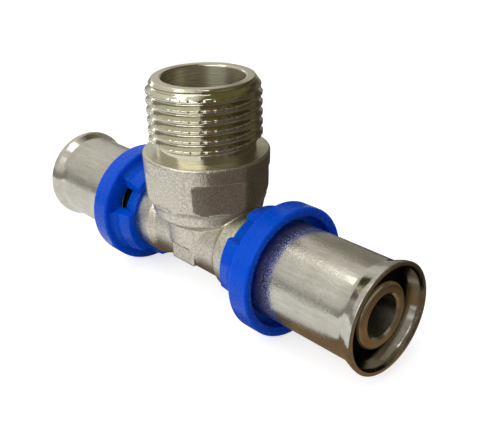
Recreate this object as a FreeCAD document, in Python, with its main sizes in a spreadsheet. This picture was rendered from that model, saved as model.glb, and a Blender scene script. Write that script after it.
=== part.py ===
import FreeCAD, Part
import math
import os
import Sketcher

# Press tee for 16 mm multilayer pipe with a half-inch male branch, in millimetres.
# The run lies along X, the branch stands up +Z, and the origin is where their axes cross.

TAN_DRILL = math.tan(math.radians(31))   # a 118 degree drill point
SIDES = {"near": 1, "far": -1}

SIZES = {
    # pipe that the tee is made for, and the room left round it
    "pipe_radius": 8.0,
    "pipe_wall": 2.0,
    "pipe_gap": 0.2,
    "tail_gap": 0.15,
    # forged run with its shoulders
    "run_wall": 3.25,
    "run_half_length": 8.7,
    "shoulder_slope": 1.0,
    "shoulder_length": 5.3,
    "shoulder_step": 0.2,
    # insert tails with barbs and seal grooves
    "tail_length": 26.8,
    "tail_nose": 0.45,
    "tail_wall": 0.87,
    "base_land": 3.5,
    "land": 1.8,
    "barb_pitch": 1.3,
    "barb_depth": 0.4,
    "groove_width": 1.9,
    "groove_depth": 1.23,
    "waterway_chamfer": 0.2,
    "seal_section_radius": 0.75,
    "seal_gap": 0.03,
    # clip groove that holds the ring
    "clip_depth": 0.5,
    "clip_width": 0.8,
    "clip_inset": 0.3,
    "clip_gap": 0.1,
    # branch, from the thread inwards and from the collar's foot upwards
    "thread_radius": 10.478,
    "thread_depth": 1.18,
    "thread_run_out": 0.7,
    "thread_length": 9.35,
    "lead_in_height": 1.8,
    "lead_in_depth": 1.23,
    "neck_height": 1.6,
    "branch_wall": 1.8,
    "branch_bore_lift": 0.6,
    "branch_bore_chamfer": 0.45,
    "throat_step": 0.35,
    # collar with its six spanner flats
    "collar_step": 1.322,
    "collar_height": 8.35,
    "collar_taper": 0.25,
    "collar_edge": 0.5,
    "knee_rise": 1.3,
    "knee_taper": 0.8,
    "band_rise": 2.0,
    "band_taper": 0.4,
    "foot_height": 5.9,
    "foot_edge": 0.5,
    "underside_sink": 1.4,
    "underside_height": 2.6,
    "flat_depth": 1.2,
    "flat_drop": 0.8,
    "flat_height": 6.1,
    # flat marking pad on the front of the run
    "pad_left": 2.8,
    "pad_right": 3.6,
    "pad_rise": 0.3,
    "pad_low": 3.55,
    "pad_sink": 1.7,
    "pad_edge": 0.18,
    # press sleeves with a flared mouth
    "sleeve_gap": 0.12,
    "sleeve_wall": 0.75,
    "sleeve_overhang": 1.2,
    "flare_length": 2.1,
    "flare_rise": 0.79,
    "flare_lip": 0.9,
    "flare_lip_rise": 0.14,
    "flare_blend": 2.0,
    "lip_edge": 0.2,
    # plastic retaining rings
    "ring_grip": 1.5,
    "ring_bore_gap": 0.05,
    "ring_hub_wall": 1.4,
    "ring_hub_flank": 2.5,
    "ring_hub_top_wall": 1.9,
    "ring_hub_edge": 0.3,
    "ring_rear": 3.35,
    "ring_rear_slope": 0.2,
    "ring_rear_blend": 1.2,
    "ring_rear_edge": 0.5,
    "ring_ledge": 0.25,
    "ring_seat_depth": 1.6,
    "ring_seat_gap": 0.08,
    "ring_recess_depth": 2.5,
    "ring_recess_width": 1.4,
    "ring_recess_bevel": 0.35,
    "ring_rim_bevel": 0.75,
    "ring_rim_width": 1.65,
    "ring_edge": 0.45,
    # notches round the hub, each with a sight window for the pipe
    "notch_angle": 27.5,
    "notch_floor_wall": 0.25,
    "notch_flare": 1.25,
    "window_length": 2.1,
    "near_ring_turn": 32,
    "far_ring_turn": 29.5,
}

BARBS = 3
FLATS = 6
NOTCHES = 4


# a size keeps its value beside the formula that ties it to the sheet

class Size:
    def __init__(self, value, formula):
        self.value = value
        self.formula = formula

    def __add__(self, other):
        other = as_size(other)
        return Size(self.value + other.value, f"({self.formula} + {other.formula})")

    def __sub__(self, other):
        other = as_size(other)
        return Size(self.value - other.value, f"({self.formula} - {other.formula})")

    def __mul__(self, factor):
        factor = as_size(factor)
        return Size(self.value * factor.value, f"({self.formula} * {factor.formula})")

    def __neg__(self):
        return Size(-self.value, f"(0 - {self.formula})")

    __radd__ = __add__


def as_size(number):
    return number if isinstance(number, Size) else Size(number, f"{number:.9g}")


def sine(angle):
    return Size(math.sin(math.radians(angle.value)), f"sin({angle.formula} * 1 deg)")


class Sizes:
    def __init__(self, sheet, values):
        for row, (name, value) in enumerate(values.items(), 1):
            sheet.set(f"A{row}", name)
            sheet.set(f"B{row}", str(value))
            sheet.setAlias(f"B{row}", name)
            setattr(self, name, Size(value, "sizes." + name))


def bind(thing, name, size):
    size = as_size(size)
    thing.setExpression(name, size.formula)


# sketches, features and the search for edges

def origin_part(body, role):
    return next(f for f in body.Origin.OriginFeatures if f.Role == role)


def outline(body, name, plane, corners):
    """A closed outline of straight edges, each corner tied to the sheet."""
    sketch = body.newObject("Sketcher::SketchObject", name)
    sketch.AttachmentSupport = (origin_part(body, plane), [""])
    sketch.MapMode = "FlatFace"
    corners = [(as_size(across), as_size(up)) for across, up in corners]
    points = [FreeCAD.Vector(across.value, up.value, 0) for across, up in corners]
    count = len(points)
    for i in range(count):
        sketch.addGeometry(Part.LineSegment(points[i], points[(i + 1) % count]), False)
    for i in range(count):
        sketch.addConstraint(Sketcher.Constraint("Coincident", i, 2, (i + 1) % count, 1))
    for i, corner in enumerate(corners):
        for kind, size in zip(("DistanceX", "DistanceY"), corner):
            k = sketch.addConstraint(Sketcher.Constraint(kind, -1, 1, i, 1, size.value))
            label = f"corner_{i}_{kind[-1].lower()}"
            sketch.renameConstraint(k, label)
            sketch.setExpression("Constraints." + label, size.formula)
    return sketch


def turned(body, kind, name, sketch, axis, angle=None):
    """A revolved boss or groove about the sketch's own H or V axis, whole or through an angle."""
    feature = body.newObject("PartDesign::" + kind, name)
    feature.Profile = sketch
    feature.ReferenceAxis = (sketch, [axis + "_Axis"])
    feature.Angle = 360
    if angle:
        feature.Midplane = True
        bind(feature, "Angle", angle)
    body.Document.recompute()
    return feature


def extruded(body, kind, name, sketch, length, reverse):
    feature = body.newObject("PartDesign::" + kind, name)
    feature.Profile = sketch
    feature.Reversed = reverse
    bind(feature, "Length", length)
    body.Document.recompute()
    return feature


def repeated(body, name, originals, axis, count):
    feature = body.newObject("PartDesign::PolarPattern", name)
    feature.Originals = originals
    feature.Axis = (origin_part(body, axis), [""])
    feature.Angle = 360
    feature.Occurrences = count
    body.Tip = feature
    body.Document.recompute()
    return feature


def rounded(body, name, radius, wanted):
    """A fillet on each edge of the body so far that is wanted."""
    base = body.Tip
    names = [f"Edge{i}" for i, edge in enumerate(base.Shape.Edges, 1) if wanted(edge)]
    if not names:
        raise RuntimeError(f"{name}: no edge found")
    fillet = body.newObject("PartDesign::Fillet", name)
    fillet.Base = (base, names)
    bind(fillet, "Radius", radius)
    body.Document.recompute()
    return fillet


def rim(axis, place, radius, both=False):
    """Picks the circle about an axis at a place along it, and at the mirrored place too if asked."""
    def wanted(edge):
        if not isinstance(edge.Curve, Part.Circle):
            return False
        centre = getattr(edge.Curve.Center, axis)
        centre = abs(centre) if both else centre
        return abs(edge.Curve.Radius - radius.value) < 1e-4 and abs(centre - place.value) < 1e-4
    return wanted


def new_body(doc, name):
    body = doc.addObject("PartDesign::Body", name)
    body.Label = name
    return body


# sizes that several pieces share

class Shared:
    def __init__(self, s):
        self.shoulder_start = s.run_half_length + s.shoulder_slope
        self.stop_face = self.shoulder_start + s.shoulder_length
        self.tail_end = self.stop_face + s.tail_length
        self.tail_radius = s.pipe_radius - s.pipe_wall - s.tail_gap
        self.groove_floor = self.tail_radius - s.groove_depth
        self.waterway_radius = self.groove_floor - s.tail_wall
        self.run_radius = self.waterway_radius + s.run_wall
        self.shoulder_radius = s.pipe_radius - s.shoulder_step
        self.clip_end = self.stop_face - s.clip_inset
        self.clip_start = self.clip_end - s.clip_width
        self.clip_floor = self.shoulder_radius - s.clip_depth
        self.collar_radius = s.thread_radius + s.collar_step
        self.knee_radius = self.collar_radius - s.collar_taper
        self.band_radius = self.knee_radius - s.knee_taper
        self.foot_radius = self.band_radius - s.band_taper
        self.band_top = s.foot_height + s.band_rise
        self.knee = self.band_top + s.knee_rise
        self.collar_top = self.knee + s.collar_height
        self.neck_radius = s.thread_radius - s.thread_depth
        self.thread_start = self.collar_top + s.neck_height + s.thread_run_out
        self.thread_end = self.thread_start + s.thread_length
        self.branch_top = self.thread_end + s.lead_in_height
        self.sleeve_inside = s.pipe_radius + s.sleeve_gap
        self.sleeve_outside = self.sleeve_inside + s.sleeve_wall
        self.hub_end = self.stop_face - s.ring_grip
        self.ring_rear = self.stop_face + s.ring_rear
        self.ring_ledge = self.ring_rear + s.ring_ledge


# tee body: the run with its tails and pad, then the branch and collar, then the bores

def groove_corners(start, end, top, floor):
    return [(start, top), (start, floor), (end, floor), (end, top)]


def run_outline(s, at):
    """Outline of the run from the far tail's end to the near one's, as (place, radius)."""
    valley = at.tail_radius - s.barb_depth
    points = [
        (s.run_half_length, at.run_radius),
        (at.shoulder_start, at.shoulder_radius),
    ]
    points += groove_corners(at.clip_start, at.clip_end, at.shoulder_radius, at.clip_floor)
    points += [
        (at.stop_face, at.shoulder_radius),
        (at.stop_face, at.tail_radius),
    ]
    place = at.stop_face + s.base_land
    for _ in seal_places(s, at):
        points.append((place, at.tail_radius))
        for _ in range(BARBS):
            place = place + s.barb_pitch
            points += [(place, valley), (place, at.tail_radius)]
        place = place + s.land
        points += groove_corners(place, place + s.groove_width, at.tail_radius, at.groove_floor)
        place = place + s.groove_width + s.land
    points += [
        (at.tail_end - s.tail_nose, at.tail_radius),
        (at.tail_end, at.tail_radius - s.tail_nose),
        (at.tail_end, 0),
    ]
    return [(-place, radius) for place, radius in reversed(points)] + points


def seal_places(s, at):
    """Middle of each seal groove along the tail."""
    barbs = s.barb_pitch * BARBS
    inner = at.stop_face + s.base_land + barbs + s.land + s.groove_width * 0.5
    return {"inner": inner, "outer": inner + s.groove_width + s.land * 2 + barbs}


def front_pad(body, s, at):
    high = s.foot_height - s.pad_sink
    corners = [(-s.pad_left, -s.pad_low), (s.pad_right, -s.pad_low), (s.pad_right, high), (-s.pad_left, high)]
    sketch = outline(body, "pad_outline", "XZ_Plane", corners)
    face = at.run_radius + s.pad_rise
    extruded(body, "Pad", "pad", sketch, face, reverse=False)

    def pad_rim(edge):
        box = edge.BoundBox
        return box.YMax < -face.value + 1e-4

    rounded(body, "pad_edges", s.pad_edge, pad_rim)


def make_run(body, s, at):
    turned(body, "Revolution", "run", outline(body, "run_outline", "XY_Plane", run_outline(s, at)), "H")
    front_pad(body, s, at)


def branch_outline(s, at):
    inner = at.run_radius - s.underside_sink
    neck_top = at.collar_top + s.neck_height
    return [
        (0, 0),
        (inner, 0),
        (inner, s.underside_height),
        (at.foot_radius, s.foot_height),
        (at.band_radius, at.band_top),
        (at.knee_radius, at.knee),
        (at.collar_radius, at.collar_top),
        (at.neck_radius, at.collar_top),
        (at.neck_radius, neck_top),
        (s.thread_radius, at.thread_start),
        (s.thread_radius, at.thread_end),
        (s.thread_radius - s.lead_in_depth, at.branch_top),
        (0, at.branch_top),
    ]


def spanner_flats(body, s, at):
    low = at.knee - s.flat_drop
    high = low + s.flat_height
    reach = at.collar_radius
    corners = [(-reach, low), (reach, low), (reach, high), (-reach, high)]
    sketch = outline(body, "flat_outline", "XZ_Plane", corners)
    bind(sketch, "AttachmentOffset.Base.z", at.collar_radius - s.flat_depth)
    flat = extruded(body, "Pocket", "flat", sketch, at.collar_radius, reverse=True)
    repeated(body, "six_flats", [flat], "Z_Axis", FLATS)


def make_branch(doc, s, at):
    body = new_body(doc, "branch_form")
    sketch = outline(body, "branch_outline", "XZ_Plane", branch_outline(s, at))
    turned(body, "Revolution", "branch", sketch, "V")
    rounded(body, "collar_edge", s.collar_edge, rim("z", at.collar_top, at.collar_radius))
    rounded(body, "foot_edge", s.foot_edge, rim("z", s.foot_height, at.foot_radius))
    spanner_flats(body, s, at)
    return body


def bore_out(body, s, at):
    mouth = at.waterway_radius + s.waterway_chamfer
    straight = at.tail_end - s.waterway_chamfer
    waterway = [
        (-at.tail_end, 0),
        (-at.tail_end, mouth),
        (-straight, at.waterway_radius),
        (straight, at.waterway_radius),
        (at.tail_end, mouth),
        (at.tail_end, 0),
    ]
    turned(body, "Groove", "waterway", outline(body, "waterway_outline", "XY_Plane", waterway), "H")
    throat = at.waterway_radius - s.throat_step
    bore = at.neck_radius - s.branch_wall
    floor = s.foot_height + s.branch_bore_lift
    branch = [
        (0, 0),
        (throat, 0),
        (throat, floor - (bore - throat) * TAN_DRILL),
        (bore, floor),
        (bore, at.branch_top - s.branch_bore_chamfer),
        (bore + s.branch_bore_chamfer, at.branch_top),
        (0, at.branch_top),
    ]
    turned(body, "Groove", "branch_bore", outline(body, "branch_bore_outline", "XZ_Plane", branch), "V")


def make_tee_body(doc, s, at):
    body = new_body(doc, "tee_body")
    make_run(body, s, at)
    branch = make_branch(doc, s, at)
    joined = body.newObject("PartDesign::Boolean", "branch_joined")
    joined.Group = [branch]
    joined.Type = "Fuse"
    doc.recompute()
    bore_out(body, s, at)
    return body


# press sleeves: thin stainless tubes with a flared mouth

def make_sleeve(doc, s, at, side):
    body = new_body(doc, side + "_sleeve")
    mouth = at.tail_end + s.sleeve_overhang
    lip = mouth - s.flare_lip
    flare = lip - s.flare_length
    places = [at.ring_ledge, flare, lip, mouth]
    rises = [0, 0, s.flare_rise, s.flare_rise + s.flare_lip_rise]
    inside = [(place, at.sleeve_inside + rise) for place, rise in zip(places, rises)]
    outside = [(place, at.sleeve_outside + rise) for place, rise in zip(places, rises)]
    sketch = outline(body, "sleeve_outline", "XY_Plane", inside + outside[::-1])
    turned(body, "Revolution", "tube", sketch, "H")
    rounded(body, "outer_bend", s.flare_blend, rim("x", flare, at.sleeve_outside))
    rounded(body, "inner_bend", s.flare_blend + s.sleeve_wall, rim("x", flare, at.sleeve_inside))
    rounded(body, "lip_bend", s.flare_blend, rim("x", lip, at.sleeve_inside + s.flare_rise))
    rounded(body, "lip_back", s.flare_blend + s.sleeve_wall, rim("x", lip, at.sleeve_outside + s.flare_rise))
    rounded(body, "lip_edge", s.lip_edge, rim("x", mouth, outside[-1][1]))
    set_side(body, side)
    return body


# retaining rings: a flanged rim and a castellated hub

def ring_outline(s, at):
    bore = at.shoulder_radius + s.ring_bore_gap
    pipe_bore = s.pipe_radius + s.pipe_gap
    hub_top = pipe_bore + s.ring_hub_top_wall
    seat = at.sleeve_outside + s.ring_seat_gap
    seat_end = at.ring_ledge + s.ring_seat_depth
    front = seat_end + s.ring_recess_depth
    recess = seat + s.ring_recess_width
    outer = recess + s.ring_rim_width
    lip_start = at.clip_start + s.clip_gap
    lip_end = at.clip_end - s.clip_gap
    lip_radius = at.clip_floor + s.clip_gap
    return [
        (at.hub_end, pipe_bore + s.ring_hub_wall),
        (at.hub_end + s.ring_hub_flank, hub_top),
        (at.ring_rear - s.ring_rear_slope, hub_top),
        (at.ring_rear, outer),
        (front, outer),
        (front, recess + s.ring_rim_bevel),
        (front - s.ring_recess_bevel, recess),
        (seat_end, recess),
        (seat_end, seat),
        (at.ring_ledge, seat),
        (at.ring_ledge, pipe_bore),
        (at.stop_face, pipe_bore),
        (at.stop_face, bore),
        (lip_end, bore),
        (lip_end, lip_radius),
        (lip_start, lip_radius),
        (lip_start, bore),
        (at.hub_end, bore),
    ]


def turned_by(sketch, axis, turn):
    """Turns a sketch about one of its own axes by an angle tied to the sheet."""
    sketch.AttachmentOffset = FreeCAD.Placement(FreeCAD.Vector(), FreeCAD.Rotation(axis, turn.value))
    bind(sketch, "AttachmentOffset.Rotation.Angle", turn)


def cut_notches(body, s, at, turn):
    """Notches through the hub's edge with flared sides, and a window through the floor of each."""
    beyond = at.hub_end - s.ring_grip
    end = at.ring_rear - s.ring_rear_slope * 0.5
    floor = s.pipe_radius + s.pipe_gap + s.notch_floor_wall
    depth = s.ring_rim_width * 2
    cuts = []
    for name, start, low, high in (
        ("notch", beyond, floor, floor + depth),
        ("window", end - s.window_length, at.clip_floor, floor + s.notch_floor_wall),
    ):
        corners = [(start, low), (end, low), (end, high), (start, high)]
        sketch = outline(body, name + "_outline", "XY_Plane", corners)
        turned_by(sketch, FreeCAD.Vector(1, 0, 0), turn)
        cuts.append(turned(body, "Groove", name, sketch, "H", s.notch_angle))
    low_half = floor * sine(s.notch_angle * 0.5)
    high_half = low_half + depth * s.notch_flare
    corners = [(floor, -low_half), (floor + depth, -high_half), (floor + depth, high_half), (floor, low_half)]
    sketch = outline(body, "flare_outline", "YZ_Plane", corners)
    turned_by(sketch, FreeCAD.Vector(0, 0, 1), turn)
    bind(sketch, "AttachmentOffset.Base.z", end)
    cuts.append(extruded(body, "Pocket", "notch_flare", sketch, end - beyond, reverse=False))
    repeated(body, "four_notches", cuts, "X_Axis", NOTCHES)


def make_ring(doc, s, at, side):
    body = new_body(doc, side + "_ring")
    corners = ring_outline(s, at)
    turned(body, "Revolution", "rim", outline(body, "ring_outline", "XY_Plane", corners), "H")
    hub_edge, _, valley, rear_edge, front_edge = corners[:5]
    rounded(body, "front_edge", s.ring_edge, rim("x", *front_edge))
    rounded(body, "rear_edge", s.ring_rear_edge, rim("x", *rear_edge))
    rounded(body, "rear_blend", s.ring_rear_blend, rim("x", *valley))
    rounded(body, "hub_edge", s.ring_hub_edge, rim("x", *hub_edge))
    cut_notches(body, s, at, getattr(s, side + "_ring_turn"))
    set_side(body, side)
    return body


# seals: rubber rings in the tail grooves

def make_seal(doc, s, at, side, which):
    seal = doc.addObject("Part::Torus", f"{side}_{which}_seal")
    seal.Label = seal.Name
    bind(seal, "Radius1", at.groove_floor + s.seal_gap + s.seal_section_radius)
    bind(seal, "Radius2", s.seal_section_radius)
    seal.Placement = FreeCAD.Placement(FreeCAD.Vector(), FreeCAD.Rotation(FreeCAD.Vector(0, 1, 0), 90))
    bind(seal, "Placement.Base.x", seal_places(s, at)[which] * SIDES[side])
    return seal


def set_side(body, side):
    """Turns a part to the far end of the run where it belongs there."""
    turn = 0 if SIDES[side] > 0 else 180
    body.Placement = FreeCAD.Placement(FreeCAD.Vector(), FreeCAD.Rotation(FreeCAD.Vector(0, 0, 1), turn))


def check(doc, parts):
    for thing in doc.Objects:
        if "Invalid" in thing.State or "Error" in thing.State:
            raise RuntimeError(f"{thing.Name} failed: {thing.State}")
    for part in parts:
        shape = part.Shape
        if shape.isNull() or not shape.isValid() or len(shape.Solids) != 1:
            raise RuntimeError(f"{part.Label} is not one valid solid")


def main():
    doc = FreeCAD.newDocument("press_tee")
    sheet = doc.addObject("Spreadsheet::Sheet", "sizes")
    s = Sizes(sheet, SIZES)
    doc.recompute()
    at = Shared(s)
    parts = [make_tee_body(doc, s, at)]
    for side in SIDES:
        parts.append(make_sleeve(doc, s, at, side))
        parts.append(make_ring(doc, s, at, side))
        parts += [make_seal(doc, s, at, side, which) for which in seal_places(s, at)]
    doc.recompute()
    check(doc, parts)
    os.makedirs("parts", exist_ok=True)
    for part in parts:
        part.Shape.exportStep(f"parts/{part.Label}.step")
        print(f"{part.Label}: {part.Shape.Volume:.1f} mm3")


main()
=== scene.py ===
import math

import bmesh
import bpy
import numpy as np
from mathutils import Matrix, Vector

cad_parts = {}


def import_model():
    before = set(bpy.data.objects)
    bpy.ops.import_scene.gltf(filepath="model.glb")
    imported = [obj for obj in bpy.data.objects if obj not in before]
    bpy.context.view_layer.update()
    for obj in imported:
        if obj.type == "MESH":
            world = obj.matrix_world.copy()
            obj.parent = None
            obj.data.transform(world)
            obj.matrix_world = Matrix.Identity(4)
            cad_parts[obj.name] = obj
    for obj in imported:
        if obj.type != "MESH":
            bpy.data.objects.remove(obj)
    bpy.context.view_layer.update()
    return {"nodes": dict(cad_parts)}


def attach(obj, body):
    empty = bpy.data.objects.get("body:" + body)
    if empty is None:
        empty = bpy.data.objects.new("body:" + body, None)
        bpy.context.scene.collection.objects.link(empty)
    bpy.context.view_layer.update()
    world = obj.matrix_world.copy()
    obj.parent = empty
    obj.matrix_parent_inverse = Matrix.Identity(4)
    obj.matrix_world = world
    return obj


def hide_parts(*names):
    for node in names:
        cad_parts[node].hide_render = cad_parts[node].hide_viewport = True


# Press tee with a male threaded branch: looks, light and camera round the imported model.
# Sizes are in millimetres and are turned to metres where a mesh or an object is made.

MM = 0.001

# camera, solved from the outlines in the photograph
IMAGE_WIDTH = 479
VIEW_AZIMUTH = 47.87
VIEW_ELEVATION = 26.02
VIEW_ROLL = -1.404
VIEW_DISTANCE = 145.53
FOCAL_PIXELS = 749.0
SHIFT_RIGHT, SHIFT_UP = 5.706, 2.299
SENSOR_WIDTH = 36.0
NEAREST, FARTHEST = 0.001, 20.0

# sizes that the visual pieces share with the solids
CLIP_START = 13.9
CLIP_END = 21.0
WATERWAY_RADIUS = 3.75
WATERWAY_CHAMFER = 0.35
THROAT_RADIUS = 3.4
THROAT_TOP = 4.0
BORE_FLOOR = 6.5
TAIL_END = 41.8
TAIL_RADIUS = 5.85
NOSE_ROUNDING = 0.8
COLLAR_TOP = 17.55
NECK_RADIUS = 9.298
NECK_TOP = 19.15
THREAD_START = 19.85
THREAD_END = 29.2
BRANCH_TOP = 31.0
LEAD_IN_RADIUS = 9.248
CHAMFER_NORMAL = 34.3
CROWN_ROUNDING = 0.5
MOUTH_ROUNDING = 0.4
BRANCH_BORE_RADIUS = 7.498
RING_RADIUS = 12.0

# mesh work: a length past the whole object, what counts as touching in metres, and the edges that stay sharp
BEYOND = 60.0
TOUCH = 1e-7
SHARP_DEGREES = 34

# half-inch pipe thread
CREST_RADIUS = 10.478
ROOT_RADIUS = 9.316
PITCH = 1.814
CREST_FLAT = 0.22
ROOT_FLAT = 0.17
CREST_EASE = 0.03
CREST_ROUNDING = ((0.04, 0.012), (0.1, 0.06))   # along the pitch, and below the crest
FLANK_START = 0.2
ROOT_ROUNDING = ((-0.1, 0.13), (0, 0.03))   # along the pitch, and above the root
CREST_AZIMUTH = 50.0
CREST_HEIGHT = 27.94
NICKS = 33
NICK_DEPTH = 0.12
NICK_SHARE = 0.3
NICK_REACH = 0.85
TURN_STEPS = NICKS * 10

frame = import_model()


# meshes

def mesh_object(name, vertices, faces):
    """A mesh object from vertices in millimetres."""
    mesh = bpy.data.meshes.new(name)
    mesh.from_pydata([tuple(v) for v in np.asarray(vertices) * MM], [], faces)
    mesh.validate()
    obj = bpy.data.objects.new(name, mesh)
    bpy.context.scene.collection.objects.link(obj)
    smooth(obj, SHARP_DEGREES)
    return obj


def smooth(obj, degrees):
    """Smooth shading with sharp edges over an angle."""
    mesh = obj.data
    if mesh.has_custom_normals:
        with bpy.context.temp_override(object=obj, active_object=obj):
            bpy.ops.mesh.customdata_custom_splitnormals_clear()
    mesh.shade_smooth()
    mesh.set_sharp_from_angle(angle=math.radians(degrees))


def apply_modifier(obj, kind, **settings):
    """Puts one modifier on an object and keeps its result as the mesh."""
    modifier = obj.modifiers.new(kind.title(), kind)
    for name, value in settings.items():
        setattr(modifier, name, value)
    depsgraph = bpy.context.evaluated_depsgraph_get()
    mesh = bpy.data.meshes.new_from_object(obj.evaluated_get(depsgraph))
    obj.modifiers.clear()
    old = obj.data
    obj.data = mesh
    bpy.data.meshes.remove(old)


def combine(obj, other, operation):
    """Joins, cuts or intersects with another object, which is used up."""
    apply_modifier(obj, "BOOLEAN", operation=operation, object=other, solver="MANIFOLD")
    bpy.data.objects.remove(other)


def lathe(name, profile, steps=180, axis="z"):
    """A closed turned solid from (radius, place) points that run round the section."""
    angles = np.arange(steps) * 2 * math.pi / steps
    count = len(profile)
    vertices, faces = [], []
    rings = []
    for radius, place in profile:
        if radius == 0:
            rings.append([len(vertices)] * steps)
            vertices.append((0, 0, place))
        else:
            rings.append(list(range(len(vertices), len(vertices) + steps)))
            vertices += [(radius * math.cos(a), radius * math.sin(a), place) for a in angles]
    closed = profile[0][0] > 0
    for i in range(count if closed else count - 1):
        low, high = rings[i], rings[(i + 1) % count]
        for k in range(steps):
            n = (k + 1) % steps
            corners = [low[k], low[n], high[n], high[k]]
            face = list(dict.fromkeys(corners))
            if len(face) > 2:
                faces.append(face)
    vertices = np.array(vertices)
    if axis == "x":
        vertices = vertices[:, [2, 0, 1]]
    obj = mesh_object(name, vertices, faces)
    outward(obj)
    return obj


def outward(obj):
    """Joins vertices that meet and turns every face outwards."""
    work = bmesh.new()
    work.from_mesh(obj.data)
    bmesh.ops.remove_doubles(work, verts=work.verts, dist=TOUCH)
    bmesh.ops.recalc_face_normals(work, faces=work.faces)
    work.to_mesh(obj.data)
    work.free()


def box_object(name, low, high):
    """A closed box between two corners."""
    corners = [(x, y, z) for x in (low[0], high[0]) for y in (low[1], high[1]) for z in (low[2], high[2])]
    faces = [(0, 1, 3, 2), (4, 6, 7, 5), (0, 4, 5, 1), (2, 3, 7, 6), (0, 2, 6, 4), (1, 5, 7, 3)]
    obj = mesh_object(name, corners, faces)
    outward(obj)
    return obj


# threaded end of the branch

def thread_profile():
    """(share of a pitch, radius) down one thread from the middle of its crest."""
    flank = (PITCH - CREST_FLAT - ROOT_FLAT) / 2
    slope = (CREST_RADIUS - ROOT_RADIUS) / flank
    crest, root = CREST_FLAT / 2, CREST_FLAT / 2 + flank
    points = [(0, CREST_RADIUS), (crest - CREST_EASE, CREST_RADIUS)]
    points += [(crest + along, CREST_RADIUS - fall) for along, fall in CREST_ROUNDING]
    points.append((crest + FLANK_START, CREST_RADIUS - FLANK_START * slope))
    points.append((crest + flank * 0.5, (CREST_RADIUS + ROOT_RADIUS) / 2))
    points += [(root + along, ROOT_RADIUS + rise) for along, rise in ROOT_ROUNDING]
    points.append((root + ROOT_FLAT / 2, ROOT_RADIUS))
    back = [(PITCH - place, radius) for place, radius in points[1:-1][::-1]]
    return [(place / PITCH, radius) for place, radius in points + back]


def thread_object():
    """The helical thread as a closed tube from the neck to the branch's top."""
    profile = thread_profile()
    rows = len(profile)
    turns = math.ceil((BRANCH_TOP - NECK_TOP) / PITCH) + 2
    start = CREST_HEIGHT - PITCH * (turns - 2) - CREST_AZIMUTH / 360 * PITCH
    total = rows * turns
    angles = np.arange(TURN_STEPS) * 2 * math.pi / TURN_STEPS
    share = np.array([p[0] for p in profile])
    radius = np.array([p[1] for p in profile])
    lead_in = (CREST_RADIUS - LEAD_IN_RADIUS) / (BRANCH_TOP - THREAD_END)
    run_out = (CREST_RADIUS - NECK_RADIUS) / (THREAD_START - NECK_TOP)
    vertices = []
    index = {}

    def point(step, level):
        angle = angles[step]
        height = start + PITCH * (level // rows + share[level % rows] + angle / (2 * math.pi))
        r = radius[level % rows]
        r = min(r, LEAD_IN_RADIUS + (BRANCH_TOP - height) * lead_in)
        r = min(r, NECK_RADIUS + (height - NECK_TOP) * run_out)
        height = min(max(height, NECK_TOP), BRANCH_TOP)
        if height == NECK_TOP:
            r = NECK_RADIUS
        if height == BRANCH_TOP:
            r = LEAD_IN_RADIUS
        crest_share = (r - ROOT_RADIUS) / (CREST_RADIUS - ROOT_RADIUS)
        turn_place = (angle * NICKS / (2 * math.pi)) % 1.0
        if crest_share > NICK_REACH and turn_place < NICK_SHARE:
            r -= NICK_DEPTH
        return r * math.cos(angle), r * math.sin(angle), height

    for step in range(TURN_STEPS):
        for level in range(total + 1):
            index[step, level] = len(vertices)
            vertices.append(point(step, level))

    faces = []
    for step in range(TURN_STEPS):
        wrap = step + 1 == TURN_STEPS
        for level in range(total):
            beside, above = (step + 1, level) if not wrap else (0, level + rows)
            if above < total:
                faces.append([index[step, level], index[beside, above],
                              index[beside, above + 1], index[step, level + 1]])
    obj = mesh_object("thread", vertices, faces)
    close_ends(obj)
    return obj


def close_ends(obj):
    """Puts a flat cap on each end of the thread."""
    work = bmesh.new()
    work.from_mesh(obj.data)
    bmesh.ops.remove_doubles(work, verts=work.verts, dist=2 * TOUCH)
    bmesh.ops.dissolve_degenerate(work, edges=work.edges, dist=TOUCH)
    for height in (NECK_TOP, BRANCH_TOP):
        flat = [f for f in work.faces if all(abs(v.co.z - height * MM) < TOUCH for v in f.verts)]
        bmesh.ops.delete(work, geom=flat, context="FACES")
    loose = [v for v in work.verts if not v.link_faces]
    bmesh.ops.delete(work, geom=loose, context="VERTS")
    edges = [e for e in work.edges if e.is_boundary]
    bmesh.ops.holes_fill(work, edges=edges, sides=0)
    bmesh.ops.triangulate(work, faces=[f for f in work.faces if len(f.verts) > 4])
    bmesh.ops.recalc_face_normals(work, faces=work.faces)
    work.to_mesh(obj.data)
    work.free()


# body

# how the solid is cut up, softened in its middle and joined again
VOXEL = 0.2
PLUG_RADIUS = {"x": WATERWAY_RADIUS + 0.6, "z": BRANCH_BORE_RADIUS + 0.4}
TRIM = 3.0
HALF_WIDTH = 20.0
FORGED_REACH = 13.6
FORGED_TOP = 17.0
SEAM = 0.05
SMOOTH_ROUNDS = 4
SHELL_OVERLAP = 0.4
OUTSIDE = 2.0
OVER = 0.3


def rounding(middle, height, radius, start, end, steps=6):
    """Points of an arc in a turned profile, between two angles in degrees."""
    angles = [math.radians(start + (end - start) * k / steps) for k in range(steps + 1)]
    return [(middle + radius * math.cos(a), height + radius * math.sin(a)) for a in angles]


def body_copy(name):
    """A copy of the CAD body's mesh to cut and join, since the body itself is never changed."""
    source = frame["nodes"]["tee_body"]
    obj = bpy.data.objects.new(name, source.data.copy())
    bpy.context.scene.collection.objects.link(obj)
    outward(obj)
    return obj


def forged_box(grown=0.0):
    """The space that the forged middle takes up, below the collar's top and between the rings."""
    reach, top = FORGED_REACH + grown, FORGED_TOP + grown
    return box_object("middle", (-reach, -HALF_WIDTH, -HALF_WIDTH), (reach, HALF_WIDTH, top))


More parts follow.
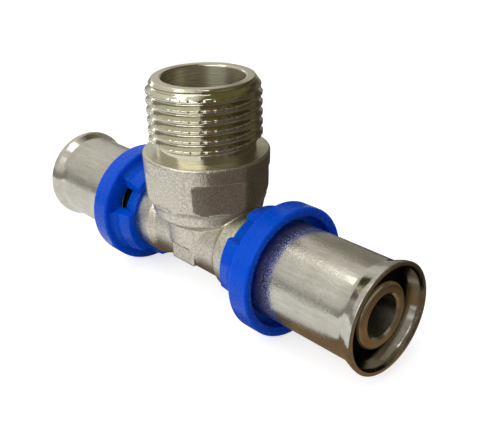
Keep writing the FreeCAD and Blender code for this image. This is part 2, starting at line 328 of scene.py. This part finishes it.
def forged_part():
    """The forged middle with its corners softened and its saddle blended."""
    obj = body_copy("forged")
    for axis, radius in PLUG_RADIUS.items():
        low = -BEYOND if axis == "x" else 0
        plug = lathe("plug", [(0, low), (radius, low), (radius, BEYOND), (0, BEYOND)], axis=axis)
        combine(obj, plug, "UNION")
    combine(obj, forged_box(TRIM), "INTERSECT")
    apply_modifier(obj, "REMESH", mode="VOXEL", voxel_size=VOXEL * MM)
    apply_modifier(obj, "SMOOTH", factor=0.5, iterations=SMOOTH_ROUNDS)
    combine(obj, forged_box(), "INTERSECT")
    return obj


def branch_bore(over):
    """The branch's bore down to the throat, with a rounded mouth."""
    lip = BRANCH_BORE_RADIUS + MOUTH_ROUNDING
    mouth = rounding(lip, BRANCH_TOP - MOUTH_ROUNDING, MOUTH_ROUNDING, 180, 90)
    throat = [(0, 0), (THROAT_RADIUS, 0), (THROAT_RADIUS, THROAT_TOP), (BRANCH_BORE_RADIUS, BORE_FLOOR)]
    return lathe("bore", [*throat, *mouth, (lip, over), (0, over)])


def crown_cutter(over):
    """What rounds the corner between the branch's end face and its lead-in chamfer."""
    normal = math.radians(CHAMFER_NORMAL)
    middle = LEAD_IN_RADIUS - CROWN_ROUNDING * math.tan((math.pi / 2 - normal) / 2)
    arc = rounding(middle, BRANCH_TOP - CROWN_ROUNDING, CROWN_ROUNDING, 90, CHAMFER_NORMAL)
    radius, place = arc[-1]
    outside = (radius + math.cos(normal), place + math.sin(normal))
    return lathe("crown", [*arc, outside, (middle, over)])


def waterway():
    """The bore right through the run, with a chamfer at each end."""
    wide, straight = WATERWAY_RADIUS + WATERWAY_CHAMFER, TAIL_END - WATERWAY_CHAMFER
    return lathe("water", [
        (0, -TAIL_END), (wide, -TAIL_END), (WATERWAY_RADIUS, -straight),
        (WATERWAY_RADIUS, straight), (wide, TAIL_END), (0, TAIL_END),
    ], axis="x")


def nose_cutter(end):
    """What rounds the outer corner of one insert tail."""
    inner, start = TAIL_RADIUS - NOSE_ROUNDING, TAIL_END - NOSE_ROUNDING
    outer, over = TAIL_RADIUS + OVER, TAIL_END + OVER
    corners = rounding(inner, start, NOSE_ROUNDING, 90, 0) + [(outer, start), (outer, over), (inner, over)]
    return lathe("nose", [(radius, end * place) for radius, place in corners], axis="x")


def tee_body():
    """The whole body: CAD ends, softened forged middle and cut thread, joined in one mesh."""
    body = body_copy("tee_body_dressed")
    combine(body, forged_box(-SEAM), "DIFFERENCE")
    inner, outer, over = NECK_RADIUS - SHELL_OVERLAP, RING_RADIUS + OUTSIDE, BRANCH_TOP + 1
    shell = lathe("shell", [(inner, NECK_TOP), (outer, NECK_TOP), (outer, over), (inner, over)])
    combine(body, shell, "DIFFERENCE")
    combine(body, thread_object(), "UNION")
    combine(body, forged_part(), "UNION")
    combine(body, branch_bore(over), "DIFFERENCE")
    combine(body, crown_cutter(over), "DIFFERENCE")
    combine(body, waterway(), "DIFFERENCE")
    for end in (1, -1):
        combine(body, nose_cutter(end), "DIFFERENCE")
    smooth(body, SHARP_DEGREES)
    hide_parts("tee_body")
    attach(body, "root")
    return body


body = tee_body()


# materials

class Nodes:
    """A material with a Principled shader and small helpers to feed it."""

    def __init__(self, name, **values):
        self.material = bpy.data.materials.new(name)
        self.material.use_nodes = True
        self.tree = self.material.node_tree
        self.shader = self.tree.nodes["Principled BSDF"]
        for key, value in values.items():
            self.shader.inputs[key.replace("_", " ")].default_value = value

    def add(self, kind, **values):
        """A node whose properties and sockets have these values."""
        node = self.tree.nodes.new(kind)
        for key, value in values.items():
            if hasattr(node, key):
                setattr(node, key, value)
            else:
                node.inputs[key.replace("_", " ")].default_value = value
        return node

    def link(self, source, target):
        self.tree.links.new(source, target)

    def place(self, scale=(1, 1, 1)):
        """The surface's place in metres, stretched along each axis."""
        where = self.add("ShaderNodeTexCoord")
        stretch = self.add("ShaderNodeVectorMath", operation="MULTIPLY")
        stretch.inputs[1].default_value = scale
        self.link(where.outputs["Object"], stretch.inputs[0])
        return stretch.outputs[0]

    def noise(self, place, scale, detail=2.0, roughness=0.5):
        node = self.add("ShaderNodeTexNoise", Scale=scale, Detail=detail, Roughness=roughness)
        self.link(place, node.inputs["Vector"])
        return node.outputs["Fac"]

    def tool_rings(self, scale):
        """Noise in rings round the branch's axis, on its bore and on its end faces."""
        place = self.place()
        flat = self.add("ShaderNodeVectorMath", operation="LENGTH")
        self.link(self.place((1, 1, 0)), flat.inputs[0])
        split = self.add("ShaderNodeSeparateXYZ")
        self.link(place, split.inputs[0])
        along = self.add("ShaderNodeMath", operation="ADD")
        self.link(flat.outputs["Value"], along.inputs[0])
        self.link(split.outputs["Z"], along.inputs[1])
        node = self.add("ShaderNodeTexNoise", noise_dimensions="1D", Scale=scale, Detail=2.0)
        self.link(along.outputs[0], node.inputs["W"])
        return node.outputs["Fac"]

    def run_distance(self):
        """Distance from the middle along the run, in metres."""
        split = self.add("ShaderNodeSeparateXYZ")
        self.link(self.place(), split.inputs[0])
        away = self.add("ShaderNodeMath", operation="ABSOLUTE")
        self.link(split.outputs["X"], away.inputs[0])
        return away.outputs[0]

    def times(self, first, second):
        node = self.add("ShaderNodeMath", operation="MULTIPLY")
        self.link(first, node.inputs[0])
        self.link(second, node.inputs[1])
        return node.outputs[0]

    def spread(self, value, low, high, to_low=0.0, to_high=1.0):
        """Maps a value from one range to another, held at both ends."""
        node = self.add("ShaderNodeMapRange", From_Min=low, From_Max=high, To_Min=to_low, To_Max=to_high)
        self.link(value, node.inputs["Value"])
        return node.outputs["Result"]

    def blend(self, factor, first, second):
        """A mix of two colours, or of what a node gives."""
        node = self.add("ShaderNodeMix", data_type="RGBA")
        self.link(factor, node.inputs[0])
        for value, socket in ((first, node.inputs[6]), (second, node.inputs[7])):
            if isinstance(value, tuple):
                socket.default_value = (*value, 1)
            else:
                self.link(value, socket)
        return node.outputs[2]

    def bump(self, height, strength, distance):
        node = self.add("ShaderNodeBump", Strength=strength, Distance=distance)
        self.link(height, node.inputs["Height"])
        return node.outputs["Normal"]

    def finish(self, **links):
        """Links what nodes give to the shader's sockets."""
        for key, source in links.items():
            self.link(source, self.shader.inputs[key.replace("_", " ")])
        return self.material


def forged_nickel():
    """Blasted and plated forging: a warm grey with fine bright and dark specks."""
    n = Nodes("forged_nickel", Metallic=1.0, Roughness=0.4)
    place = n.place()
    fine = n.noise(place, scale=3200, detail=2, roughness=0.6)
    broad = n.noise(place, scale=160, detail=3)
    ground = n.blend(n.spread(broad, 0.35, 0.65), (0.52, 0.49, 0.395), (0.58, 0.545, 0.445))
    pitted = n.blend(n.spread(fine, 0.3, 0.42), (0.47, 0.435, 0.34), ground)
    colour = n.blend(n.spread(fine, 0.42, 0.62), pitted, (0.77, 0.73, 0.63))
    rough = n.spread(fine, 0.3, 0.7, 0.36, 0.27)
    normal = n.bump(fine, strength=1.0, distance=0.0001)
    return n.finish(Base_Color=colour, Roughness=rough, Normal=normal)


def threaded_nickel():
    """Polished plating on the cut thread, with faint tool lines."""
    n = Nodes("threaded_nickel", Metallic=1.0, Roughness=0.15)
    lines = n.noise(n.place((30, 30, 5000)), scale=1.0, detail=2)
    broad = n.noise(n.place(), scale=220, detail=2)
    colour = n.blend(n.spread(broad, 0.3, 0.7), (0.61, 0.59, 0.46), (0.72, 0.7, 0.58))
    rough = n.spread(lines, 0.3, 0.7, 0.08, 0.15)
    normal = n.bump(lines, strength=0.15, distance=0.00002)
    return n.finish(Base_Color=colour, Roughness=rough, Normal=normal)


def turned_nickel():
    """Turned faces and bores: fine rings left by the tool."""
    n = Nodes("turned_nickel", Metallic=1.0, Roughness=0.28, Anisotropic=0.75, Anisotropic_Rotation=0.25)
    tangent = n.add("ShaderNodeTangent", direction_type="RADIAL", axis="Z")
    rings = n.tool_rings(scale=4600)
    broad = n.noise(n.place(), scale=160, detail=2)
    colour = n.blend(n.spread(broad, 0.3, 0.7), (0.64, 0.6, 0.47), (0.74, 0.7, 0.57))
    colour = n.blend(n.spread(rings, 0.35, 0.65), colour, (0.58, 0.54, 0.42))
    rough = n.spread(rings, 0.3, 0.7, 0.26, 0.38)
    normal = n.bump(rings, strength=0.5, distance=0.00004)
    return n.finish(Base_Color=colour, Roughness=rough, Normal=normal, Tangent=tangent.outputs[0])


def insert_metal():
    """The machined tails, a little warmer than the plating."""
    n = Nodes("insert_metal", Metallic=1.0, Roughness=0.25)
    place = n.place()
    broad = n.noise(place, scale=300, detail=3)
    fine = n.noise(place, scale=2400, detail=2)
    colour = n.blend(n.spread(broad, 0.3, 0.7), (0.5, 0.4, 0.27), (0.62, 0.52, 0.38))
    return n.finish(Base_Color=colour, Normal=n.bump(fine, strength=0.2, distance=0.00004))


def painted_shade_seat():
    """The seat behind the ring's windows, painted nearly black as the shade of the cavity behind them, with
    a little grain.
    """
    n = Nodes("painted_shade_seat", Metallic=0.4, Roughness=0.45)
    grain = n.noise(n.place(), scale=900, detail=3)
    # near-black colour: painted shade of the dark cavity behind the ring's windows
    colour = n.blend(n.spread(grain, 0.3, 0.7), (0.012, 0.014, 0.018), (0.035, 0.04, 0.05))
    return n.finish(Base_Color=colour, Normal=n.bump(grain, strength=0.2, distance=0.00005))


# where a sleeve's finish changes, in metres along the run
RING_EDGE = (0.021, 0.0245)
FROST = (0.0245, 0.0265)
COARSER = (0.0245, 0.03)
SMOOTHER = (0.0375, 0.0395)


def stainless():
    """Mill-finished tube: frosted specks beside the ring, a coarser middle and a smooth mouth."""
    n = Nodes("stainless", Metallic=1.0, Roughness=0.34)
    grain = n.noise(n.place((0.5, 1, 1)), scale=3400, detail=2, roughness=0.65)
    streaks = n.noise(n.place((0.12, 1, 1)), scale=1500, detail=3, roughness=0.6)
    broad = n.noise(n.place(), scale=170, detail=4, roughness=0.6)
    specks = n.noise(n.place(), scale=5200, detail=2, roughness=0.6)
    away = n.run_distance()
    colour = n.blend(n.spread(broad, 0.35, 0.65), (0.5, 0.475, 0.4), (0.6, 0.58, 0.51))
    colour = n.blend(n.spread(streaks, 0.45, 0.8), colour, (0.68, 0.66, 0.59))
    grain = n.times(grain, n.spread(away, *SMOOTHER, 1.0, 0.25))
    rough = n.times(n.spread(grain, 0.1, 0.7, 0.14, 0.34), n.spread(away, *COARSER, 0.55, 1.0))
    relief = n.times(grain, n.spread(away, *COARSER, 2.0, 1.0))
    frost = n.times(n.spread(specks, 0.44, 0.68), n.spread(away, *FROST, 0.55, 0.0))
    frost = n.times(frost, n.spread(away, *RING_EDGE, 0.15, 1.0))
    metal = n.spread(frost, 0.0, 1.0, 1.0, 0.0)
    normal = n.bump(relief, strength=0.8, distance=0.00003)
    return n.finish(Base_Color=colour, Roughness=rough, Normal=normal, Metallic=metal)


def blue_plastic():
    """Moulded blue plastic: saturated, with a satin surface."""
    n = Nodes(
        "blue_plastic", Roughness=0.25, Base_Color=(0.0, 0.07, 0.56, 1),
        Subsurface_Weight=0.6, Subsurface_Radius=(0.2, 0.4, 1.0), Subsurface_Scale=0.004,
        Specular_IOR_Level=0.22, Specular_Tint=(0.45, 0.65, 1, 1),
    )
    place = n.place()
    broad = n.noise(place, scale=60, detail=2)
    fine = n.noise(place, scale=1500, detail=2)
    colour = n.blend(n.spread(broad, 0.3, 0.7), (0.0, 0.063, 0.51), (0.0, 0.073, 0.57))
    rough = n.spread(fine, 0.3, 0.7, 0.22, 0.3)
    normal = n.bump(fine, strength=0.08, distance=0.00003)
    return n.finish(Base_Color=colour, Roughness=rough, Normal=normal)


def black_rubber():
    """Moulded seals with a fine grain."""
    n = Nodes("black_rubber", Roughness=0.5, Base_Color=(0.012, 0.012, 0.013, 1))
    fine = n.noise(n.place(), scale=1800, detail=2)
    return n.finish(Normal=n.bump(fine, strength=0.2, distance=0.00003))


FORGED, TURNED, THREADED, INSERT, CLIP = range(5)


def dress(obj, *materials):
    """Gives an object these materials in place of its own."""
    obj.data.materials.clear()
    for material in materials:
        obj.data.materials.append(material)


dress(body, forged_nickel(), turned_nickel(), threaded_nickel(), insert_metal(), painted_shade_seat())


# margins and heights that part one finish from the next
HAIR = 0.01
BORE_MARGIN = 0.1
BORE_BOTTOM = 2.0
TAIL_FACE = (WATERWAY_RADIUS + 0.33, TAIL_RADIUS - 0.6 * NOSE_ROUNDING)
COLLAR_FACE = (COLLAR_TOP - 0.03, COLLAR_TOP + 0.05)


def zone(centre):
    """Which finish a face of the body has, from its middle in millimetres."""
    x, y, z = centre
    around_run = math.hypot(y, z)
    around_branch = math.hypot(x, y)
    on_tail_face = TAIL_FACE[0] < around_run < TAIL_FACE[1]
    if abs(x) > TAIL_END - NOSE_ROUNDING and not on_tail_face and around_run > WATERWAY_RADIUS + HAIR:
        return THREADED
    if abs(x) > CLIP_END:
        return INSERT
    # the seat under the rings takes the material with painted shade
    if abs(x) > CLIP_START:
        return CLIP
    if around_run < WATERWAY_RADIUS + BORE_MARGIN:
        return TURNED
    if around_branch < BRANCH_BORE_RADIUS + HAIR and z > BORE_BOTTOM:
        return TURNED
    if COLLAR_FACE[1] < z < BRANCH_TOP - HAIR:
        return THREADED
    if z > COLLAR_FACE[0]:
        return TURNED
    return FORGED


for polygon in body.data.polygons:
    polygon.material_index = zone(polygon.center / MM)

finishes = {"sleeve": stainless(), "ring": blue_plastic(), "seal": black_rubber()}
for name, node in frame["nodes"].items():
    kind = name.split("_")[-1]
    if kind in finishes:
        dress(node, finishes[kind])
        smooth(node, SHARP_DEGREES)


# floor and light

FLOOR_HALF = 130
FLOOR_COLOUR = (0.65, 0.65, 0.65, 1)
FLOOR_ROUGHNESS = 0.8
FLOOR_SPECULAR = 0.1
GLOW_TO_CAMERA = 0.37
GLOW_TO_BOTH = 0.28
LAMP_DISTANCE = 450
FLAG_PLACE = 13.3
FLAG_TOP = 16.5

# the bright side of the room, as reflections see it
LIT_LOW = (0.32, 0.31, 0.29)
LIT = (0.7, 0.69, 0.66)
LIT_HIGH = (0.8, 0.78, 0.74)

# the dark side of the room and its sheets, as reflections see them
DARK_AZIMUTH = 130
SHADE = (0.13, 0.098, 0.065)
WARM_SHADE = (0.22, 0.145, 0.08)
TOP_SHADE = (0.125, 0.112, 0.042)
FLAG_SHADE = (0.13, 0.1, 0.088)
BACK_SHADE = (0.055, 0.043, 0.032)
SIDE_SHADE = (0.3, 0.285, 0.24)
LOW_SHADE = (0.13, 0.115, 0.085)
MOUTH_SHADE = (0.27, 0.255, 0.22)

# the room's light on matt surfaces
SPREAD_LIT = (0.8, 0.8, 0.8)
SPREAD_DARK = (0.42, 0.42, 0.42)

# parts of a direction between which one tone passes into the next
LIT_RISE = (0.06, 0.26)
HIGH_RISE = (0.45, 0.75)
LOW_RISE = (0.15, 0.4)
DARK_EDGE = (-0.23, -0.03)
BACK_EDGE = (0.2, 0.9)
SIDE_EDGE = (-0.5, -0.4)


def emitter(name, colour):
    """A material that only glows."""
    material = bpy.data.materials.new(name)
    material.use_nodes = True
    tree = material.node_tree
    tree.nodes.clear()
    out = tree.nodes.new("ShaderNodeOutputMaterial")
    glow = tree.nodes.new("ShaderNodeEmission")
    glow.inputs["Color"].default_value = (*colour, 1)
    tree.links.new(glow.outputs[0], out.inputs[0])
    return material


def ray_is(tree, *kinds):
    """1 for the kinds of ray that are named, else 0."""
    rays = tree.nodes.new("ShaderNodeLightPath")
    shown = rays.outputs[kinds[0]]
    for kind in kinds[1:]:
        either = tree.nodes.new("ShaderNodeMath")
        either.operation = "MAXIMUM"
        tree.links.new(shown, either.inputs[0])
        tree.links.new(rays.outputs[kind], either.inputs[1])
        shown = either.outputs[0]
    return shown


def ramp(tree, value, edges, top=1.0):
    """Rises softly from 0 to the top while a value passes between two edges."""
    node = tree.nodes.new("ShaderNodeMapRange")
    node.interpolation_type = "SMOOTHSTEP"
    for socket, number in zip(("From Min", "From Max", "To Max"), (*edges, top)):
        node.inputs[socket].default_value = number
    tree.links.new(value, node.inputs["Value"])
    return node.outputs["Result"]


def mixed(tree, factor, first, second):
    """A mix of two colours, or of what a node gives."""
    node = tree.nodes.new("ShaderNodeMix")
    node.data_type = "RGBA"
    tree.links.new(factor, node.inputs[0])
    for value, socket in ((first, node.inputs[6]), (second, node.inputs[7])):
        if isinstance(value, tuple):
            socket.default_value = (*value, 1)
        else:
            tree.links.new(value, socket)
    return node.outputs[2]


def sheet(name, corners):
    """One flat face through corners in millimetres."""
    return mesh_object(name, corners, [tuple(range(len(corners)))])


def floor():
    """A pale floor with the object's shadow, which glows to the camera and less in reflections."""
    half = FLOOR_HALF
    corners = [(-half, -half), (half, -half), (half, half), (-half, half)]
    obj = sheet("floor", [(x, y, -RING_RADIUS) for x, y in corners])
    material = bpy.data.materials.new("white_floor")
    material.use_nodes = True
    tree = material.node_tree
    shader = tree.nodes["Principled BSDF"]
    shader.inputs["Base Color"].default_value = FLOOR_COLOUR
    shader.inputs["Roughness"].default_value = FLOOR_ROUGHNESS
    shader.inputs["Specular IOR Level"].default_value = FLOOR_SPECULAR
    shader.inputs["Emission Color"].default_value = (1, 1, 1, 1)
    to_camera = ramp(tree, ray_is(tree, "Is Camera Ray"), (0, 1), GLOW_TO_CAMERA)
    to_both = ramp(tree, ray_is(tree, "Is Camera Ray", "Is Glossy Ray"), (0, 1), GLOW_TO_BOTH)
    glow = tree.nodes.new("ShaderNodeMath")
    tree.links.new(to_camera, glow.inputs[0])
    tree.links.new(to_both, glow.inputs[1])
    tree.links.new(glow.outputs[0], shader.inputs["Emission Strength"])
    obj.data.materials.append(material)


def world():
    """White behind the object, and for reflections a studio bright on the left and dark on the right."""
    studio = bpy.data.worlds.new("studio")
    bpy.context.scene.world = studio
    studio.use_nodes = True
    tree = studio.node_tree
    direction = tree.nodes.new("ShaderNodeTexCoord").outputs["Generated"]
    split = tree.nodes.new("ShaderNodeSeparateXYZ")
    tree.links.new(direction, split.inputs[0])
    along, away, upward = (split.outputs[axis] for axis in "XYZ")
    side = tree.nodes.new("ShaderNodeVectorMath")
    side.operation = "DOT_PRODUCT"
    side.inputs[1].default_value = view_direction(DARK_AZIMUTH, 0)
    tree.links.new(direction, side.inputs[0])

    high = ramp(tree, upward, HIGH_RISE)
    lit = mixed(tree, ramp(tree, upward, LIT_RISE), LIT_LOW, LIT)
    lit = mixed(tree, high, lit, LIT_HIGH)
    shade = mixed(tree, ramp(tree, away, BACK_EDGE), SHADE, BACK_SHADE)
    shade = mixed(tree, high, shade, TOP_SHADE)
    shade = mixed(tree, ramp(tree, upward, LOW_RISE), LOW_SHADE, shade)
    shade = mixed(tree, ramp(tree, along, SIDE_EDGE), SIDE_SHADE, shade)

    dark = ramp(tree, side.outputs["Value"], DARK_EDGE)
    reflected = mixed(tree, dark, lit, shade)
    spread_light = mixed(tree, dark, SPREAD_LIT, SPREAD_DARK)
    colour = mixed(tree, ray_is(tree, "Is Glossy Ray"), spread_light, reflected)
    colour = mixed(tree, ray_is(tree, "Is Camera Ray"), colour, (1, 1, 1))
    tree.links.new(colour, tree.nodes["Background"].inputs["Color"])


def view_direction(azimuth, elevation):
    """The way to a place seen from the object. Azimuth 0 is its front, and 90 its right."""
    a, e = math.radians(azimuth), math.radians(elevation)
    return Vector((math.sin(a) * math.cos(e), -math.cos(a) * math.cos(e), math.sin(e)))


def facing(direction, up=Vector((0, 0, 1))):
    """Rotation whose +Z points along a direction."""
    side = up.cross(direction).normalized()
    rise = direction.cross(side)
    return Matrix((side, rise, direction)).transposed()


def softbox(name, azimuth, elevation, size, power, in_reflections=True):
    """A rectangular lamp that points at the object."""
    light = bpy.data.lights.new(name, "AREA")
    light.shape = "RECTANGLE"
    light.size, light.size_y = size[0] * MM, size[1] * MM
    light.energy = power
    obj = bpy.data.objects.new(name, light)
    bpy.context.scene.collection.objects.link(obj)
    direction = view_direction(azimuth, elevation)
    obj.matrix_world = facing(direction).to_4x4()
    obj.location = direction * LAMP_DISTANCE * MM
    obj.visible_glossy = in_reflections


def reflection_only(name, corners, colour):
    """A glowing sheet that only reflections see."""
    obj = sheet(name, corners)
    obj.data.materials.append(emitter(name, colour))
    obj.visible_camera = False
    obj.visible_diffuse = False
    obj.visible_shadow = False


def board(name, lift, colour, corners):
    """A level sheet at a height over the floor; its glow paints shade into what reflections see."""
    reflection_only(name, [(x, y, lift - RING_RADIUS) for x, y in corners], colour)


def flag(name, colour, corners):
    """An upright sheet across the run, beside the collar; its dark glow paints shade into the collar's
    reflection where the near ring stands.
    """
    reflection_only(name, [(FLAG_PLACE, y, z) for y, z in corners], colour)


floor()
world()
softbox("key", azimuth=-50, elevation=40, size=(500, 500), power=0.6, in_reflections=False)
softbox("front", azimuth=12, elevation=35, size=(440, 220), power=0.65)
softbox("left", azimuth=-91, elevation=16, size=(150, 110), power=0.06)
softbox("top", azimuth=48, elevation=70, size=(120, 90), power=0.1)
softbox("high", azimuth=-56, elevation=64, size=(170, 100), power=0.09)
# flags: dark glowing sheets that paint shade into the collar's reflection of the near ring
flag("front_flag", FLAG_SHADE, [
    (0, FLAG_TOP), (-13.5, FLAG_TOP), (-13.5, 2), (-7.9, 2), (-7, 4.2), (-5, 6.5), (-2.5, 7.8), (0, 8.1),
])
flag("rear_flag", BACK_SHADE, [(0, 8.1), (5, 6.5), (14, 6.5), (14, FLAG_TOP), (0, FLAG_TOP)])
# boards: glowing sheets that paint shade into reflections; warm_board paints the floor's shadow under the
# near sleeve
board("mouth_board", 52, MOUTH_SHADE, [(48, -120), (110, -120), (110, 35), (48, 35)])
board("dark_board", 0.1, SHADE, [
    (-25, -13), (30, -13), (34, -18), (45, -54), (69, -82), (150, -179), (150, 30), (-40, 30),
])
board("warm_board", 0.3, WARM_SHADE, [(24, -13), (31, -16), (38, -30), (60, -36), (62, 12), (24, 12)])
board("back_board", 0.1, BACK_SHADE, [(-40, 30), (150, 30), (150, 140), (-50, 140)])


# camera

def camera():
    """The photograph's camera, in the object's frame."""
    data = bpy.data.cameras.new("camera")
    data.sensor_width = SENSOR_WIDTH
    data.lens = FOCAL_PIXELS / IMAGE_WIDTH * SENSOR_WIDTH
    data.clip_start, data.clip_end = NEAREST, FARTHEST
    obj = bpy.data.objects.new("camera", data)
    bpy.context.scene.collection.objects.link(obj)
    back = view_direction(VIEW_AZIMUTH, VIEW_ELEVATION)
    turn = facing(back) @ Matrix.Rotation(math.radians(VIEW_ROLL), 3, "Z")
    right, up = turn.col[0], turn.col[1]
    place = back * VIEW_DISTANCE + right * SHIFT_RIGHT + up * SHIFT_UP
    obj.matrix_world = Matrix.Translation(place * MM) @ turn.to_4x4()
    bpy.context.scene.camera = obj


camera()
bpy.context.scene.view_settings.view_transform = "Standard"
